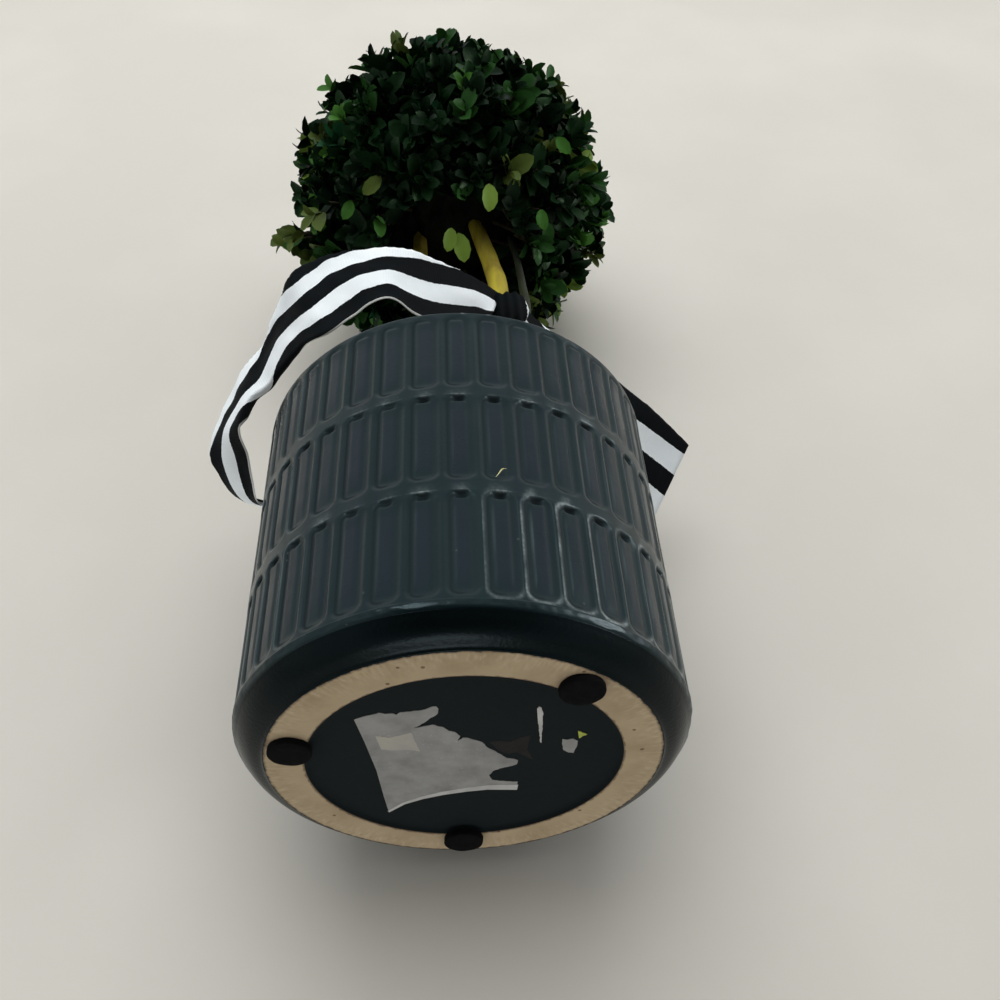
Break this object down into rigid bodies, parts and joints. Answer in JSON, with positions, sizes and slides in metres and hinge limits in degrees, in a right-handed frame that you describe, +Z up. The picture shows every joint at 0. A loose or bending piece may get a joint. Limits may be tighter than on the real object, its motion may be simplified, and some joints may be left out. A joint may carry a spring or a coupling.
{
  "type": "potted ball topiary",
  "caption": "Clipped ball of small box leaves on bare stems in a straight fluted dark glazed pot, with a wide striped ribbon tied round the stems",
  "frame": {"origin": "under the middle of the pot, on the plane of its three foot pads", "axes": "+Z up along the pot's axis, -Y the side of the ribbon's knot, X across from tail to tail"},
  "size_m": [0.1769, 0.1479, 0.3558],
  "materials": {
    "glaze": "satin charcoal glaze",
    "moss": "dried moss",
    "pad": "matt",
    "stem_bark": "dry ochre bark",
    "thin_bark": "olive bark",
    "leaves": "waxy dark green leaves",
    "ribbon": "ribbed white with black stripes"
  },
  "bodies": {
    "root": {"pot": "glaze", "pot_filling": "moss", "pad_left": "pad", "pad_right": "pad", "pad_back": "pad", "stem_right": "stem_bark", "stem_left": "stem_bark", "stem_thin": "thin_bark", "leaf_ball": "leaves", "ribbon_knot": "ribbon", "ribbon_left_arch": "ribbon", "ribbon_left_fall": "ribbon", "ribbon_right_tail": "ribbon"}
  },
  "joints": []
}
